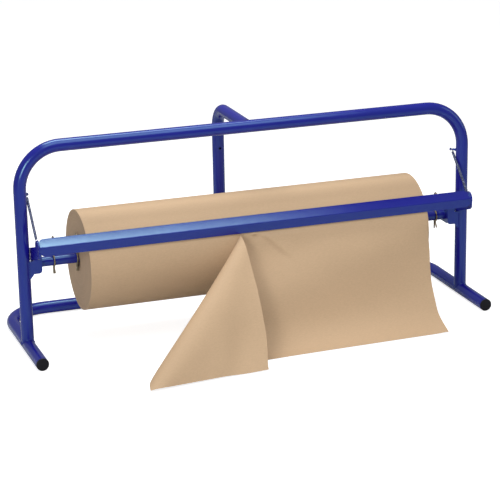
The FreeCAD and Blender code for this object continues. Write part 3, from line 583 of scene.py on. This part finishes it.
# ---------------------------------------------------------------- weld beads
def bead(points, r, seed, closed=False):
    """Rippled bead along a seam; points in millimetres."""
    P = np.asarray(points, float)
    d = np.linalg.norm(np.diff(P, axis=0), axis=1)
    s = np.concatenate([[0], np.cumsum(d)])
    n = max(12, int(s[-1] / 0.8))
    if closed:
        q = np.linspace(0, s[-1], n, endpoint=False)
    else:
        q = np.linspace(0, s[-1], n)
    P = np.stack([np.interp(q, s, P[:, c]) for c in range(3)], -1)
    rr = r * (1.0 + 0.10 * np.abs(np.sin(q * math.pi / 3.1)) + 0.06 * wobble(q, seed, 1.0, (19.0, 11.0)))
    if not closed:
        rr *= np.clip(np.minimum(q, s[-1] - q) / (1.6 * r), 0.35, 1.0) ** 0.5
    return tube(P / 1000.0, rr / 1000.0, 8, closed=closed)


TH = np.linspace(0, 2 * math.pi, 97)
for sx, side in ((1, "right"), (-1, "left")):
    seam = [(sx * 594.0 + 16.2 * math.cos(a), 16.2 * math.sin(a), 16.0 + 16.2 * abs(math.sin(a))) for a in TH]
    v, f = bead(seam[:-1] + [seam[0]], 1.9, 3 + sx, closed=True)
    o = new_mesh("weld_upright_" + side, v, f, blue)
    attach(o, "stand")
    parts = [bead([(sx * 583.6, -12.3, 191.0), (sx * 583.6, -12.3, 232.0)], 1.5, 8 + sx),
             bead([(sx * 581.0, -9.2, 234.4), (sx * 587.6, -12.2, 234.4)], 1.3, 12 + sx)]
    v, f = join(parts)
    o = new_mesh("weld_bracket_" + side, v, f, blue)
    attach(o, "stand")
seam = [(5.0 + 16.2 * math.cos(a), 264.5 + 16.2 * math.sin(a), 16.0 + 16.2 * abs(math.cos(a))) for a in TH]
v, f = bead(seam[:-1] + [seam[0]], 1.9, 21, closed=True)
o = new_mesh("weld_rear_post", v, f, blue)
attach(o, "stand")


# ---------------------------------------------------------------- stage
floor_mesh = bpy.data.meshes.new("floor")
S = 14.0
floor_mesh.from_pydata([(-S, -S, -0.0004), (S, -S, -0.0004), (S, S, -0.0004), (-S, S, -0.0004)], [], [(0, 1, 2, 3)])
floor = bpy.data.objects.new("floor", floor_mesh)
scene.collection.objects.link(floor)
fm, nt, b = principled("floor_white", (0.66, 0.66, 0.66), 0.9, spec=0.0)
b.inputs["Emission Color"].default_value = (1, 1, 1, 1)
b.inputs["Emission Strength"].default_value = 0.80
floor_mesh.materials.append(fm)
# the floor's own glow stays on the floor
glow = bpy.data.collections.new("floor_glow")
glow.objects.link(floor)
floor.light_linking.receiver_collection = glow

# round white backdrop far behind, seen by the camera only, so it throws no light on the object
NB, RB, HB = 96, 13.6, 9.0
ring = [(RB * math.cos(2 * math.pi * i / NB), RB * math.sin(2 * math.pi * i / NB)) for i in range(NB)]
back_mesh = bpy.data.meshes.new("backdrop")
back_mesh.from_pydata([(x, y, z) for z in (-0.0004, HB) for x, y in ring], [],
                      [(i, NB + i, NB + (i + 1) % NB, (i + 1) % NB) for i in range(NB)])
back = bpy.data.objects.new("backdrop", back_mesh)
scene.collection.objects.link(back)
bm_, nt, b = principled("backdrop_white", (0.0, 0.0, 0.0), 1.0, spec=0.0)
b.inputs["Emission Color"].default_value = (1, 1, 1, 1)
b.inputs["Emission Strength"].default_value = 1.0
back_mesh.materials.append(bm_)
for flag in ("visible_diffuse", "visible_glossy", "visible_transmission", "visible_volume_scatter", "visible_shadow"):
    setattr(back, flag, False)

world = bpy.data.worlds.new("studio")
scene.world = world
world.use_nodes = True
bg = world.node_tree.nodes["Background"]
bg.inputs["Color"].default_value = (0.94, 0.97, 1.0, 1.0)
bg.inputs["Strength"].default_value = 0.30


def area(name, loc, target, size, size_y, radiance, color=(1, 1, 1)):
    d = bpy.data.lights.new(name, "AREA")
    d.shape = "RECTANGLE"
    d.size, d.size_y = size, size_y
    d.energy = radiance * math.pi * size * size_y
    d.color = color
    o = bpy.data.objects.new(name, d)
    scene.collection.objects.link(o)
    o.location = loc
    o.rotation_mode = "QUATERNION"
    o.rotation_quaternion = (Vector(target) - Vector(loc)).to_track_quat("-Z", "Y")
    return o


area("softbox_rear_left", (-0.475, 0.45, 2.0), (-0.475, 0.44, 0.0), 0.85, 0.50, 9.6)
area("softbox_rear_mid", (0.125, 0.45, 2.0), (0.125, 0.44, 0.0), 0.35, 0.50, 6.4)
area("softbox_rear_right", (0.45, 0.45, 2.0), (0.45, 0.44, 0.0), 0.30, 0.50, 4.1)
area("softbox_rear_end", (0.725, 0.45, 2.0), (0.725, 0.44, 0.0), 0.25, 0.50, 1.6)
area("softbox_top", (-0.025, -0.90, 2.0), (-0.025, -0.55, 0.0), 1.75, 1.40, 2.10)
area("softbox_front", (-3.2, -3.8, 1.5), (0, 0, 0.20), 1.4, 1.8, 8.3)
area("softbox_right", (2.6, -0.8, 1.2), (0, 0, 0.25), 0.6, 1.6, 1.6)

# ---------------------------------------------------------------- camera
F_PX = 1931.5
YAW, PITCH, ROLL = math.radians(18.978), math.radians(17.133), math.radians(1.072)
CAM = Vector((-1.5456, -4.4893, 1.6557))
fwd = Vector((math.sin(YAW) * math.cos(PITCH), math.cos(YAW) * math.cos(PITCH), -math.sin(PITCH)))
right = Vector((math.cos(YAW), -math.sin(YAW), 0))
down = fwd.cross(right)
r2 = right * math.cos(ROLL) + down * math.sin(ROLL)
d2 = down * math.cos(ROLL) - right * math.sin(ROLL)
cam_d = bpy.data.cameras.new("camera")
cam_d.sensor_width = 36.0
cam_d.lens = F_PX / 500.0 * 36.0
cam_d.clip_start, cam_d.clip_end = 0.1, 100.0
cam = bpy.data.objects.new("camera", cam_d)
scene.collection.objects.link(cam)
m = Matrix((r2, -d2, -fwd)).transposed().to_4x4()
m.translation = CAM
cam.matrix_world = m
scene.camera = cam

scene.view_settings.view_transform = "Standard"
scene.view_settings.look = "None"
